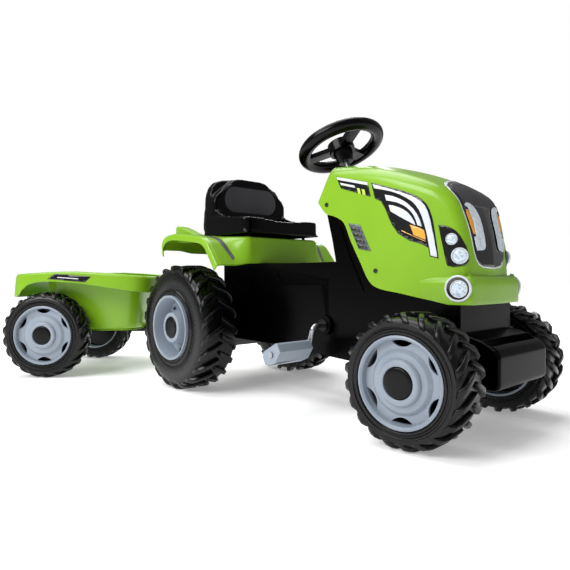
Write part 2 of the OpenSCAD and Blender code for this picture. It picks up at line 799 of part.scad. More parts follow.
// Lower body of the tub, drawn in by t
module tub_body(t) {
    hull() {
        tub_slab(-tub_back + 34 + t, -tub_front - 4 - t, 126 - t, 40, 30, bed_z + 134 + t);
        tub_slab(-tub_back + 90 + t, -tub_front - 64 - t, 112 - t, 30, 30,
            bed_z - 4 + 4 * t / wall);
    }
}

// Upper rim of the tub, which stands out over the wheels, drawn in by t
module tub_rim(t, z0, z1) {
    hull() {
        tub_slab(-tub_back + 22 + t, -tub_front - t, tub_half - t, 34, 12, z1);
        tub_slab(-tub_back + t, -tub_front - 6 - t, tub_half - 4 - t, 34, 12, z0);
    }
}

module trailer_tub() {
    band = [[-480, 208], [-431, 213], [-412, 238], [-383, 250], [-291, 249],
        [-206, 236], [-91, 220], [-60, 219], [-60, 262], [-74, 262], [-276, 277],
        [-400, 275], [-412, 270], [-480, 270]];
    color(green) on_trailer() difference() {
        union() {
            tub_body(0);
            intersection() {
                difference() { tub_rim(0, 206, 280); tub_rim(wall, 200, 254); }
                across(-200, 200) polygon(band);
            }
        }
        tub_body(wall);
        // Sunken deck round the mouth
        tub_rim(wall, 258, 290);
    }
}

// ---- Nodes ----

main_frame();
axle_carrier();
hood();
grille_panel();
light_strips();
indicator_inserts();
lamp_bezels();
upper_lamps();
middle_lamps();
headlights();
louvre_panels();
saddle();
hood_screws();
column_bushes();
crank_bushes();
axle_bushes();
chain();
hitch_pin();
hitch_clip();
seat();
seat_panel();
steering_wheel();
steering_column();
column_collar();
horn_button();
stub_axle(1);  // stub_axle_left
stub_axle(-1);  // stub_axle_right
tie_rod();
front_tyre(1);  // front_tyre_left
front_tyre(-1);  // front_tyre_right
front_rim(1);  // front_rim_left
front_rim(-1);  // front_rim_right
front_cap(1);  // front_cap_left
front_cap(-1);  // front_cap_right
crank();
crank_sprocket();
pedal(1);  // pedal_left
pedal(-1);  // pedal_right
rear_axle();
axle_sprocket();
rear_tyre(1);  // rear_tyre_left
rear_tyre(-1);  // rear_tyre_right
rear_rim(1);  // rear_rim_left
rear_rim(-1);  // rear_rim_right
rear_cap(1);  // rear_cap_left
rear_cap(-1);  // rear_cap_right
trailer_tub();
drawbar();
trailer_axle();
drawbar_screws();
trailer_tyre(1);  // trailer_tyre_left
trailer_tyre(-1);  // trailer_tyre_right
trailer_rim(1);  // trailer_rim_left
trailer_rim(-1);  // trailer_rim_right
trailer_cap(1);  // trailer_cap_left
trailer_cap(-1);  // trailer_cap_right
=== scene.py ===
"""Ride-on pedal tractor with its trailer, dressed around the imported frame.

Sizes in the piece makers are millimetres in the tractor's own axes: x forward
and z up from the floor under the rear axle, y to the tractor's left.
"""

import bpy
import bmesh
import json
import math
from mathutils import Matrix, Vector
from mathutils.bvhtree import BVHTree


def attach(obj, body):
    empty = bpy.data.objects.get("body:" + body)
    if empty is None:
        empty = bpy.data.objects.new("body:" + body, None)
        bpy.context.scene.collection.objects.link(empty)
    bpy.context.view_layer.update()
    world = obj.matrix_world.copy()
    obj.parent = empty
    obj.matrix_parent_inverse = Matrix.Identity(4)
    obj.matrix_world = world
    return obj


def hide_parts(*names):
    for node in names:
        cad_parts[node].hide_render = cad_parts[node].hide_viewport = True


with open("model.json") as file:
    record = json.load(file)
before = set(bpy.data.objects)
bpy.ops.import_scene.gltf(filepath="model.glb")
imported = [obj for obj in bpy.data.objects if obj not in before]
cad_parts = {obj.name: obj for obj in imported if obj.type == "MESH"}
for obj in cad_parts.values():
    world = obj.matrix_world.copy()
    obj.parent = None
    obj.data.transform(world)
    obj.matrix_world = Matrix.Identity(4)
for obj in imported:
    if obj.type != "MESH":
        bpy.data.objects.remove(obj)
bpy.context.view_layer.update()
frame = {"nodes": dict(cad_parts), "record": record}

TURN = 2 * math.pi
MM = Matrix.Scale(0.001, 4)


# ---- Places, from the record's joints ----

record = frame["record"]
joints = {j["name"]: j for j in record["behaviour"]["joints"]}
body_of = {n: b for b, ns in record["behaviour"]["bodies"].items() for n in ns}
slot_of = {p["node"]: p["material_slot"] for p in record["subparts"]}


def joint_at(name):
    return Vector(joints[name]["pos_m"])


def axes(origin, x, z):
    """A place in millimetres with its own x and z directions."""
    x, z = Vector(x).normalized(), Vector(z).normalized()
    y = z.cross(x)
    turn = Matrix((x, y, z)).transposed().to_4x4()
    return Matrix.Translation(origin) @ turn @ MM


axle = joint_at("rear_drive")
TRACTOR = Matrix.Translation((axle.x, axle.y, 0)) @ MM
hitch = joint_at("hitch_swing")
trailer_left = Vector(joints["trailer_wheel_left"]["axis"])
TRAILER = axes((hitch.x, hitch.y, 0), (trailer_left.y, -trailer_left.x, 0), (0, 0, 1))


def hub(name, side):
    """A wheel's place: z outwards along its axle."""
    out = Vector(joints[name]["axis"]) * side
    return axes(joint_at(name), Vector((0, 0, 1)).cross(out) * -1, out)


# ---- Paint ----

class Wave:
    """A socket that arithmetic can be written with."""

    def __init__(self, paint, socket):
        self.paint, self.socket = paint, socket

    def sum(self, kind, a, b):
        return self.paint.node("ShaderNodeMath", {"operation": kind}, {0: a, 1: b})

    def __add__(self, other):
        return self.sum("ADD", self, other)

    def __sub__(self, other):
        return self.sum("SUBTRACT", self, other)

    def __rsub__(self, other):
        return self.sum("SUBTRACT", other, self)

    def __mul__(self, other):
        return self.sum("MULTIPLY", self, other)

    __radd__ = __add__
    __rmul__ = __mul__


class Paint:
    """A material: its nodes come from node() and its shader from shade()."""

    def __init__(self, name):
        self.material = bpy.data.materials.new(name)
        self.material.use_nodes = True
        self.tree = self.material.node_tree
        self.shader = self.tree.nodes["Principled BSDF"]
        self.place = self.node("ShaderNodeTexCoord", out="Object")

    def node(self, kind, settings=None, sockets=None, out=0):
        made = self.tree.nodes.new(kind)
        for key, value in (settings or {}).items():
            if key == "stops":
                ramp = made.color_ramp
                while len(ramp.elements) < len(value):
                    ramp.elements.new(0.5)
                for stop, (at, colour) in zip(ramp.elements, value):
                    stop.position, stop.color = at, colour
            else:
                setattr(made, key, value)
        for key, value in (sockets or {}).items():
            self.feed(made.inputs[key], value)
        return Wave(self, made.outputs[out])

    def feed(self, socket, value):
        if isinstance(value, Wave):
            self.tree.links.new(value.socket, socket)
        else:
            socket.default_value = value

    def shade(self, **sockets):
        for key, value in sockets.items():
            self.feed(self.shader.inputs[key.replace("_", " ")], value)
        return self.material

    def noise(self, scale, detail=3.0, rough=0.5):
        return self.node("ShaderNodeTexNoise", None,
                         {"Vector": self.place, "Scale": scale, "Detail": detail,
                          "Roughness": rough}, "Fac")

    def ramp(self, value, *stops):
        stops = [(at, tint(colour)) for at, colour in stops]
        return self.node("ShaderNodeValToRGB", {"stops": stops}, {"Fac": value}, "Color")

    def bump(self, height, strength, distance):
        return self.node("ShaderNodeBump", None,
                         {"Height": height, "Strength": strength, "Distance": distance}, "Normal")


def tint(colour):
    """A colour written in the usual 0 to 255 screen values, for a shader."""
    return tuple((c / 255) ** 2.2 for c in colour[:3]) + (1.0,)


def moulded_plastic(name, low, high, rough, grain=0.0, gloss=0.0, scuff=0.05, shine=0.5):
    """Plastic with slight colour drift, handling marks and a moulded texture."""
    p = Paint(name)
    drift = p.noise(9, 4)
    marks = p.noise(160, 6, 0.65)
    if grain:
        relief = p.bump(p.noise(1700, 2), grain, 0.0004)
    else:
        relief = p.bump(p.noise(38, 2), 0.05, 0.002)
    p.shade(Base_Color=p.ramp(drift, (0.3, low), (0.7, high)),
            Roughness=(marks - 0.5) * scuff + rough, Normal=relief)
    p.shader.inputs["Coat Weight"].default_value = gloss
    p.shader.inputs["Coat Roughness"].default_value = 0.12
    p.shader.inputs["Specular IOR Level"].default_value = shine
    return p.material


def steel_finish(name, low, high, rough):
    """Steel with fine drawn lines."""
    p = Paint(name)
    streaks = p.node("ShaderNodeMapping", None, {"Vector": p.place, "Scale": (60, 900, 60)})
    lines = p.node("ShaderNodeTexNoise", None,
                   {"Vector": streaks, "Scale": 1.0, "Detail": 3.0}, "Fac")
    p.shade(Base_Color=p.ramp(p.noise(45, 5), (0.3, low), (0.7, high)),
            Roughness=(lines - 0.5) * 0.25 + rough, Metallic=1.0,
            Normal=p.bump(lines, 0.08, 0.0003))
    return p.material


def lens_finish(name, low, high, scale):
    """Clear plastic over a faceted reflector."""
    p = Paint(name)
    cells = p.node("ShaderNodeTexVoronoi", None, {"Vector": p.place, "Scale": scale}, "Distance")
    p.shade(Base_Color=p.ramp(cells, (0.1, low), (0.6, high)), Roughness=0.12,
            Normal=p.bump(cells, 0.3, 0.0006))
    p.shader.inputs["Coat Weight"].default_value = 0.7
    p.shader.inputs["Coat Roughness"].default_value = 0.05
    return p.material


GREEN = moulded_plastic("green plastic", (118, 164, 30), (125, 171, 36), 0.3, gloss=0.12, shine=0.4)
BLACK = moulded_plastic("black plastic", (4, 4, 5), (7, 7, 8), 0.22, grain=0.04, shine=0.16)
FRAME = moulded_plastic("frame plastic", (3, 3, 4), (5, 5, 6), 0.26, grain=0.03, shine=0.06)
SATIN = moulded_plastic("satin black", (9, 9, 11), (13, 13, 15), 0.3, grain=0.1, shine=0.2)
TYRE = moulded_plastic("tyre plastic", (9, 9, 11), (14, 14, 16), 0.28, grain=0.08, scuff=0.12,
                       shine=0.3)
GREY = moulded_plastic("grey plastic", (132, 142, 154), (140, 149, 161), 0.36, grain=0.1)
GLOSS = moulded_plastic("gloss black", (11, 12, 12), (16, 17, 17), 0.16, gloss=0.5)
SILVER = moulded_plastic("silver print", (196, 202, 210), (214, 219, 226), 0.3, gloss=0.4)
LIME = moulded_plastic("lime print", (176, 204, 70), (186, 212, 84), 0.3, gloss=0.4)
SLATE = moulded_plastic("slate print", (62, 68, 74), (88, 94, 100), 0.3, gloss=0.4)
ORANGE = moulded_plastic("orange print", (222, 140, 40), (240, 176, 70), 0.25, gloss=0.5)
PANEL = moulded_plastic("seat panel", (50, 48, 53), (60, 58, 64), 0.5, grain=0.5)
NYLON = moulded_plastic("nylon", (205, 204, 196), (216, 214, 206), 0.45, grain=0.1)
LENS = lens_finish("lens", (136, 152, 168), (202, 216, 228), 300)
GUIDE = lens_finish("guide", (186, 196, 206), (214, 222, 230), 120)
ZINC = steel_finish("zinc steel", (150, 152, 156), (176, 178, 182), 0.3)
OILED = steel_finish("oiled steel", (60, 60, 62), (82, 82, 84), 0.4)

PAINTS = {"green_plastic": GREEN, "black_plastic": BLACK, "tyre_plastic": TYRE,
          "grey_plastic": GREY, "gloss_black": GLOSS, "seat_panel_grey": PANEL,
          "lamp_white": LENS, "orange": ORANGE, "bush_plastic": NYLON,
          "zinc_steel": ZINC, "dark_steel": OILED}


# ---- Making pieces ----

def bring(name, bm, place, body, paint, slot, *nodes, sharp=35, edge=0.0, segments=2,
          wall=0.0, melt=None):
    """Finishes a mesh as a piece that rides on a body and stands for CAD nodes."""
    bm.transform(place)
    mesh = bpy.data.meshes.new(name)
    bm.to_mesh(mesh)
    bm.free()
    mesh.materials.append(paint)
    mesh.shade_smooth()
    mesh.set_sharp_from_angle(angle=math.radians(sharp))
    piece = bpy.data.objects.new(name, mesh)
    bpy.context.scene.collection.objects.link(piece)
    if melt:
        m = piece.modifiers.new("blend", "REMESH")
        m.mode, m.voxel_size, m.use_smooth_shade = "VOXEL", melt[0], True
        m = piece.modifiers.new("soften", "SMOOTH")
        m.factor, m.iterations = 0.5, melt[1]
    if wall:
        m = piece.modifiers.new("wall", "SOLIDIFY")
        m.thickness, m.offset = wall, -1
    if edge:
        m = piece.modifiers.new("edges", "BEVEL")
        m.width, m.segments, m.limit_method = edge, segments, "ANGLE"
        m.angle_limit, m.harden_normals = math.radians(32), True
    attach(piece, body)
    if nodes:
        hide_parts(*nodes)
    return piece


def eased(node, edge=0.0012, paint=None, sharp=32, segments=2, melt=None):
    """The CAD node's own shape with its edges rounded."""
    bm = bmesh.new()
    bm.from_mesh(frame["nodes"][node].data)
    bmesh.ops.remove_doubles(bm, verts=bm.verts, dist=2e-5)
    bmesh.ops.dissolve_limit(bm, angle_limit=math.radians(0.6), verts=bm.verts, edges=bm.edges)
    slot = slot_of[node]
    return bring(node + "_finished", bm, Matrix(), body_of[node], paint or PAINTS[slot],
                 slot, node, sharp=sharp, edge=edge, segments=segments, melt=melt)


def lathe(profile, steps=96):
    """Turns a closed outline of (radius, height) about z."""
    bm = bmesh.new()
    ring = [bm.verts.new((r, 0, z)) for r, z in profile]
    ring += [bm.edges.new(pair) for pair in zip(ring, ring[1:] + ring[:1])]
    bmesh.ops.spin(bm, geom=ring, cent=(0, 0, 0), axis=(0, 0, 1), angle=TURN, steps=steps,
                   use_merge=True)
    bmesh.ops.remove_doubles(bm, verts=bm.verts, dist=1e-4)
    bmesh.ops.recalc_face_normals(bm, faces=bm.faces)
    return bm


def skin_from(bm):
    """Keeps a mesh's surface for laying pieces on, and frees the mesh."""
    tree = BVHTree.FromBMesh(bm)
    bm.free()
    return tree


def join_into(bm, other):
    """Moves the other mesh's shape into this one."""
    carrier = bpy.data.meshes.new("carrier")
    other.to_mesh(carrier)
    other.free()
    bm.from_mesh(carrier)
    bpy.data.meshes.remove(carrier)


def surface(nu, nv, at):
    """A grid bent so that at(u, v) gives each point, with u and v from 0 to 1."""
    bm = bmesh.new()
    bmesh.ops.create_grid(bm, x_segments=nu, y_segments=nv, size=1)
    for v in bm.verts:
        v.co = at((v.co.x + 1) / 2, (v.co.y + 1) / 2)
    bm.normal_update()
    return bm


def mirrored(bm):
    """Adds the same shape on the tractor's other side."""
    twin = bmesh.ops.duplicate(bm, geom=bm.verts[:] + bm.edges[:] + bm.faces[:])["geom"]
    bmesh.ops.scale(bm, vec=(1, -1, 1), verts=[g for g in twin if isinstance(g, bmesh.types.BMVert)])
    bmesh.ops.reverse_faces(bm, faces=[g for g in twin if isinstance(g, bmesh.types.BMFace)])
    return bm


def along(keys, t):
    """A smooth curve through the key points, with t from 0 to 1."""
    n = len(keys) - 1
    i = min(int(t * n), n - 1)
    f = t * n - i
    a, b, c, d = (Vector(keys[max(0, min(n, i + k))]) for k in (-1, 0, 1, 2))
    return 0.5 * ((2 * b) + (c - a) * f + (2 * a - 5 * b + 4 * c - d) * f * f
                  + (3 * b - a - 3 * c + d) * f ** 3)


# ---- Tyres ----

def lug(r, h, height, pitch, lean, row):
    """One tread bar, from the middle of the tread over the shoulder."""
    path = [(r, -1), (r, h * 0.3), (r, h - 18), (r - 1.2, h - 11.5), (r - 4.5, h - 7), (r - 9, h - 4.4)]
    rise = [height, height, height, height * 0.9, height * 0.5, 0.3]
    bm = bmesh.new()
    bmesh.ops.create_cube(bm, size=1)
    long = [e for e in bm.edges if abs(e.verts[0].co.x - e.verts[1].co.x) > 0.5]
    bmesh.ops.subdivide_edges(bm, edges=long, cuts=len(path) - 2)
    for v in bm.verts:
        k = round((v.co.x + 0.5) * (len(path) - 1))
        a, b = path[max(0, k - 1)], path[min(len(path) - 1, k + 1)]
        nr, nz = Vector((b[1] - a[1], a[0] - b[0])).normalized()
        up = rise[k] if v.co.z > 0 else -2.5
        s = k / (len(path) - 1)
        wide = (0.34 + 0.2 * s) * pitch * (1 if v.co.z < 0 else 0.74)
        turn = v.co.y * wide + lean * pitch * (1 - s) ** 1.2
        rad, z = path[k][0] + up * nr, path[k][1] + up * nz
        v.co = (rad * math.cos(turn), rad * math.sin(turn), z * row)
    if row < 0:
        bmesh.ops.reverse_faces(bm, faces=bm.faces)
    return bm


LUG_LEAN = 0.95
REAR_HUB_OUT = 0.172


def make_tyre(r, w, bore, place, body, node, lugs, height):
    """A tyre with grooved walls and two rows of tread bars."""
    h, c = w / 2, r - height
    side = [(c, 0), (c, h - 17), (c - 2, h - 9), (c - 7, h - 4.5), (c - 16, h - 2.8),
            (bore + 19, h - 2.2), (bore + 16, h - 3.4), (bore + 14, h - 3.4), (bore + 12.5, h - 1.2),
            (bore + 10, h - 1.0), (bore + 8.5, h - 3), (bore + 6.5, h - 3.2), (bore + 5, h - 1.4),
            (bore + 2.5, h - 1.6), (bore + 0.6, h - 4), (bore, h - 9)]
    bm = lathe(side + [(rad, -z) for rad, z in reversed(side[1:])], 128)
    pitch = TURN / lugs
    for row in (1, -1):
        bar = lug(c, h, height, pitch, LUG_LEAN, row)
        bmesh.ops.rotate(bar, cent=(0, 0, 0), matrix=Matrix.Rotation(pitch / 4 * row, 3, "Z"),
                         verts=bar.verts)
        tops = [e for e in bar.edges if len(e.link_faces) == 2 and e.calc_face_angle() > 0.6]
        bmesh.ops.bevel(bar, geom=tops, offset=1.3, segments=2, profile=0.5, affect="EDGES",
                        material=-1)
        bmesh.ops.spin(bar, geom=bar.verts[:] + bar.edges[:] + bar.faces[:], cent=(0, 0, 0),
                       axis=(0, 0, 1), angle=TURN * (lugs - 1) / lugs, steps=lugs - 1,
                       use_duplicate=True)
        join_into(bm, bar)
    return bring(node + "_lugged", bm, place, body, TYRE, "tyre_plastic", node, sharp=40)


for side, hand in ((1, "left"), (-1, "right")):
    for part, joint, r, w, bore, lugs, height in (
            ("front", "front_wheel_" + hand, 102.6, 88, 70, 21, 7),
            ("rear", "rear_wheel_left" if side > 0 else "rear_drive", 144, 96, 74, 22, 9),
            ("trailer", "trailer_wheel_" + hand, 111.4, 66, 76, 22, 6)):
        node = f"{part}_tyre_{hand}"
        place = hub(joint, side)
        if part == "rear":
            place = axes((axle.x, axle.y + side * REAR_HUB_OUT, axle.z), (1, 0, 0), (0, side, 0))
        make_tyre(r, w, bore, place, body_of[node], node, lugs, height)
        eased(f"{part}_rim_{hand}", 0.0012)
        eased(f"{part}_cap_{hand}", 0.0008, SATIN)
        web = lathe([(14, -4), (14, 0), (bore - 1, 0), (bore - 1, -4)])
        bring(f"{part}_tyre_web_{hand}", web, place, body_of[node], BLACK, "tyre_plastic", node)
        if part != "rear":
            h = w / 2
            collar = lathe([(24.7, h - 7), (24.7, h - 0.9), (26, h), (31, h), (33, h - 1),
                            (36, h - 6), (36, h - 8)])
            bring(f"{part}_hub_collar_{hand}", collar, place, body_of[node], GREY,
                  "grey_plastic", f"{part}_rim_{hand}")


# ---- Hood ----

CROWN = [(336, 0, 486), (356, 0, 484), (386, 0, 481), (420, 0, 477), (470, 0, 467), (530, 0, 449),
         (575, 0, 432), (606, 0, 417.5), (628, 0, 401), (640, 0, 383), (650, 0, 356), (658.5, 0, 325),
         (664, 0, 290), (664.5, 0, 247), (664.5, 0, 214)]
SHOULDER = [(377, -80, 468), (384, -87, 467), (394, -90, 466), (420, -91.5, 463), (470, -92, 455),
            (526, -92, 440), (568, -91.5, 425), (596, -89, 413), (618, -85, 401), (636, -79, 384),
            (646, -74, 358), (653, -70, 325), (657, -68, 285), (659, -66, 245), (660, -65, 214)]
HEM = [(349, -88, 406), (356, -91, 399), (374, -92, 381), (398, -92, 373), (420, -92, 359),
       (437, -92, 324), (460, -92, 283), (478, -92, 252), (500, -92, 238), (546, -92, 230),
       (590, -91, 222), (625, -87, 216), (645, -80, 214), (655, -73, 213), (660, -66, 213)]


def hood_at(u, v):
    """A point on the hood; u runs from the dash to the nose, v from side to side."""
    top, corner, low = along(CROWN, u), along(SHOULDER, u), along(HEM, u)
    side = 1 if v > 0.5 else -1
    t = abs(2 * v - 1)
    inner = corner.lerp(top, 0.3)
    inner.z = corner.z + (top.z - corner.z) * 0.42
    outer = corner.lerp(low, min(0.4, 24 / max(1, (low - corner).length)))
    if t < 0.4:
        f = t / 0.4
        point = top.lerp(inner, f)
        point.z = top.z + (inner.z - top.z) * f ** 1.7
    elif t < 0.68:
        f = (t - 0.4) / 0.28
        point = (1 - f) ** 2 * inner + 2 * f * (1 - f) * corner + f * f * outer
    else:
        point = outer.lerp(low, (t - 0.68) / 0.32)
    point.y *= -side
    return point


# Bumper's plan on the right side, and its section as (drawn in, height, 0)
BUMPER_PLAN = [(584, -90.4, 0), (606, -90.9, 0), (628, -90.8, 0), (644, -89.6, 0), (657, -87.2, 0),
               (666, -84, 0), (670.6, -80.4, 0), (672.6, -74, 0), (673.6, -56, 0),
               (674.6, -28, 0), (675, 0, 0)]
BUMPER_WALL = [(0.8, 213, 0), (0, 216, 0), (0, 230, 0), (0, 244, 0), (0.5, 249, 0), (2, 253, 0),
               (5, 256.6, 0), (9, 258.6, 0), (14, 259.4, 0)]


def bumper_at(u, v):
    """A point on the bumper; u runs round the nose, v from hem to top."""
    t = 1 - abs(2 * u - 1)
    point, ahead = along(BUMPER_PLAN, t), along(BUMPER_PLAN, min(1, t + 0.02))
    if t > 0.97:
        point, ahead = Vector((675, -56 * (1 - t), 0)), Vector((675, 1, 0))
    inward = Vector((-(ahead.y - point.y), ahead.x - point.x, 0)).normalized()
    drawn, height = along(BUMPER_WALL, v)[:2]
    point = point + inward * drawn
    height = max(height, 213.5 + max(0, 636 - point.x) * 0.2)
    return Vector((point.x, point.y * (-1 if u > 0.5 else 1), height))


hood_mesh = surface(84, 96, hood_at)
bumper_mesh = surface(120, 24, bumper_at)
for mesh in (hood_mesh, bumper_mesh):
    bmesh.ops.recalc_face_normals(mesh, faces=mesh.faces)
both = hood_mesh.copy()
join_into(both, bumper_mesh.copy())
hood_skin = skin_from(both)
bring("hood_shell", hood_mesh, TRACTOR, "tractor", GREEN, "green_plastic", "hood",
      sharp=60, wall=0.0035, edge=0.0008)
bring("bumper_lip", bumper_mesh, TRACTOR, "tractor", GREEN, "green_plastic", "hood",
      sharp=50, wall=0.0035, edge=0.0006)

# Ways to look at the tractor, as (first axis, second axis, line of sight)
SIDE = (Vector((1, 0, 0)), Vector((0, 0, 1)), Vector((0, 1, 0)))
NOSE = (Vector((0, 1, 0)), Vector((0, 0, 1)), Vector((-1, 0, 0)))
CORNER = (Vector((0.866, 0.5, 0)), Vector((0, 0, 1)), Vector((-0.5, 0.866, 0)))
ABOVE = (Vector((1, 0, 0)), Vector((0, 1, 0)), Vector((0, 0, -1)))


STAND_OFF = 900


def flat_shape(outline, way, step=5):
    """The outline, seen along one way, as a finely cut sheet well in front."""
    bm = bmesh.new()
    back = way[2] * STAND_OFF
    bm.faces.new([bm.verts.new(way[0] * a + way[1] * b - back) for a, b in outline])
    bmesh.ops.triangulate(bm, faces=bm.faces, ngon_method="EAR_CLIP")
    for k in (0, 1):
        low, high = min(p[k] for p in outline), max(p[k] for p in outline)
        for i in range(1, int((high - low) / step) + 1):
            bmesh.ops.bisect_plane(bm, geom=bm.verts[:] + bm.edges[:] + bm.faces[:], dist=1e-4,
                                   plane_co=way[k] * (low + i * step) - back, plane_no=way[k])
    return bm


def patch(name, outline, way, paint, slot, *nodes, lift=0.5, wall=0.0004, twin=True, edge=0.0,
          skin=hood_skin, place=TRACTOR, body="tractor"):
    """A thin piece laid on a skin, with its outline seen along one way."""
    bm = flat_shape(outline, way)
    for v in bm.verts:
        at, normal, _, _ = skin.ray_cast(v.co, way[2])
        if at is None:
            at, normal, _, _ = skin.find_nearest(v.co + way[2] * 260)
        v.co = at + normal * (lift if normal.dot(way[2]) < 0 else -lift)
    bmesh.ops.recalc_face_normals(bm, faces=bm.faces)
    if bm.faces[:][0].normal.dot(way[2]) > 0:
        bmesh.ops.reverse_faces(bm, faces=bm.faces)
    if twin:
        mirrored(bm)
    return bring(name, bm, place, body, paint, slot, *nodes, wall=wall, edge=edge, sharp=45)


def disc_on_hood(name, at, profile, paint, slot, *nodes):
    """A turned piece standing on the hood at one place, and its twin."""
    place, normal, _, _ = hood_skin.find_nearest(Vector(at))
    if normal.y > 0:
        normal = -normal
    bm = lathe(profile, 48)
    bm.transform(Matrix.Translation(place) @ normal.to_track_quat("Z", "Y").to_matrix().to_4x4())
    return bring(name, mirrored(bm), TRACTOR, "tractor", paint, slot, *nodes, sharp=30)


def both_hands(outline):
    """Half an outline and its mirror half."""
    return outline + [(-a, b) for a, b in reversed(outline)]


def grown(outline, by):
    """The outline pushed outwards from its middle."""
    middle = sum((Vector(p) for p in outline), Vector((0, 0))) / len(outline)
    return [Vector(p) + (Vector(p) - middle).normalized() * by for p in outline]


# Side print: a badge, the big lamp and the louvres
patch("badge_ground", [(400, 449), (477, 428), (484, 401), (413, 425)], SIDE, GLOSS, "gloss_black")
patch("badge_band", [(401, 448), (477, 427.5), (478.5, 422), (404, 442.5)], SIDE, SILVER,
      "lamp_white", lift=0.8)
patch("badge_line", [(410, 436), (446, 426), (449, 421), (414, 431)], SIDE, SILVER,
      "lamp_white", lift=0.8)
for i, x in enumerate((452, 463)):
    z = 433 - (x - 413) * 0.31
    patch(f"badge_dash_{i}", [(x, z), (x + 7, z - 2), (x + 10, z - 13), (x + 3, z - 11)], SIDE,
          LIME, "green_plastic", lift=0.8)
SIDE_LAMP = [(485, 426), (507, 419), (529, 411.5), (548, 405), (564, 398.5), (577, 392), (587, 385.5),
             (595, 377), (600, 367), (604.5, 352), (607, 337), (611, 312), (615, 287), (600, 291),
             (597, 305), (585, 312), (562, 319), (541, 332), (530, 347), (524, 358), (516, 376),
             (507, 390), (493, 397)]
patch("side_lamp_ground", SIDE_LAMP, SIDE, GLOSS, "gloss_black", lift=0.4)
patch("side_lamp_hook", [(488, 423), (508, 416), (529, 408.5), (547, 402), (562, 395.7), (575, 389.5),
                         (585, 382.7), (592, 375), (596.6, 365), (600.5, 351), (603.5, 335.5),
                         (608, 312), (612.5, 289.5), (601.5, 292.4), (597, 315), (592.5, 336),
                         (589.5, 347), (586.3, 357.5), (581.5, 368.5), (575.6, 377.3), (568, 384.5),
                         (559.3, 390.6), (545, 398.5), (528.7, 405), (510, 410.5), (491.6, 415.2)],
      SIDE, SILVER, "lamp_white", lift=0.8)
patch("side_lamp_bar_upper", [(515, 401), (531, 397), (544.3, 391.2), (555, 385.5), (563.8, 378.5),
                              (571.5, 371), (577.4, 362.4), (582.5, 352), (585.9, 340.8), (578, 343.5),
                              (575.5, 352), (571.6, 360.8), (566, 368), (558.9, 374.7), (550, 380.5),
                              (539, 385.3), (518, 391)], SIDE, SILVER, "lamp_white", lift=0.8)
patch("side_lamp_bar_lower", [(523, 382.6), (534, 380), (544, 376.1), (553, 371.5), (561, 366),
                              (567, 359), (572.4, 350.2), (574.5, 343.7), (551, 357), (527, 371)],
      SIDE, SILVER, "lamp_white", lift=0.8)
patch("side_lamp_amber", [(564, 345.5), (577, 341), (589, 335.4), (591.5, 327), (592.4, 318.4),
                          (570.7, 328)], SIDE, ORANGE, "orange", lift=0.8)
patch("side_lamp_thread", [(548, 337.5), (570, 326.5), (592, 317), (592, 315.6), (548, 335.8)],
      SIDE, ORANGE, "orange", lift=0.8)
patch("louvre_ground", [(431, 358), (459.5, 352.3), (484, 304), (456, 309.5)], SIDE, SLATE,
      "seat_panel_grey", "louvre_panels", lift=1.0, wall=0.0008)
for i in range(4):
    x, z = 437.5 + i * 5.6, 350.5 - i * 11
    patch(f"louvre_bar_{i}", [(x, z), (x + 19, z - 4), (x + 22.4, z - 10.4), (x + 3.2, z - 6.4)],
          SIDE, GLOSS, "gloss_black", lift=1.8, wall=0.0008)

# Nose: the panel with its two light guides
PANEL_HALF = [(0, 272.3), (27, 274), (38, 278), (45, 286), (49, 297), (52, 318), (55, 340),
              (58.5, 362), (60, 378), (62, 388), (62, 398), (55, 408), (40, 415), (20, 420),
              (0, 423)]
PANEL_ALL = PANEL_HALF + [(-y, z) for y, z in reversed(PANEL_HALF[1:-1])]
patch("grille_border", grown(PANEL_ALL, 2.2), NOSE, SILVER, "lamp_white", lift=0.5, twin=False)
patch("grille_ground", PANEL_ALL, NOSE, GLOSS, "gloss_black", "grille_panel", lift=1.1,
      wall=0.001, twin=False)
# A grey patch over the top of the black nose panel: a painted sheen, drawing the panel's upper part
# lighter where light falls on it.
PANEL_SHEEN_PATCH = both_hands([(55, 372), (56.5, 388), (58, 398), (51, 406), (38, 412), (19, 417)])
patch("grille_painted_sheen", PANEL_SHEEN_PATCH, NOSE, PANEL, "seat_panel_grey", lift=1.5, twin=False)
STRIP = [(57, 372), (50, 376), (42, 376), (34, 373), (28, 367), (23.5, 359), (21.5, 350), (21, 340),
         (21, 325), (21.5, 308), (24, 302.5), (29, 300), (45, 299), (48, 310), (49, 321), (38, 323),
         (34, 334), (33.5, 344), (36, 356), (42, 364), (50, 369)]
patch("guide", STRIP, NOSE, GUIDE, "lamp_white", "light_strips", lift=2.6, wall=0.0012, edge=0.0004)
patch("guide_insert", [(53, 366), (46, 365), (41, 357), (39, 346), (39, 335), (42, 327), (48, 325.5),
                       (51, 337), (54, 350), (55, 360)], NOSE, ORANGE, "orange", "indicator_inserts",
      lift=2.2, wall=0.0008)

# Corner lamps
patch("lamp_bezel", [(491, 341.5), (499, 340), (506.5, 337.5), (513, 334), (518, 330), (523.5, 323),
                     (527.5, 315.5), (531.5, 308), (534, 301.5), (537, 290), (536, 281), (530, 275),
                     (514, 273), (504, 275.5), (501, 289), (497, 309), (493, 329)],
      CORNER, GLOSS, "gloss_black", "lamp_bezels", lift=1.0, wall=0.0008)


def lamp(name, at, r, ring, rise, *nodes):
    """A chromed ring round a domed lens."""
    q = r - ring
    bezel = [(r, 0), (r, rise * 0.5), (r - ring * 0.3, rise), (q + ring * 0.2, rise),
             (q, rise * 0.7), (q, 0)]
    dome = [(0, 0), (q - 0.1, 0), (q - 0.1, rise * 0.55), (q * 0.8, rise * 0.8),
            (q * 0.4, rise * 0.95), (0, rise)]
    disc_on_hood(name + "_ring", at, bezel, SILVER, "lamp_white", *nodes)
    disc_on_hood(name + "_lens", at, dome, LENS, "lamp_white", *nodes)


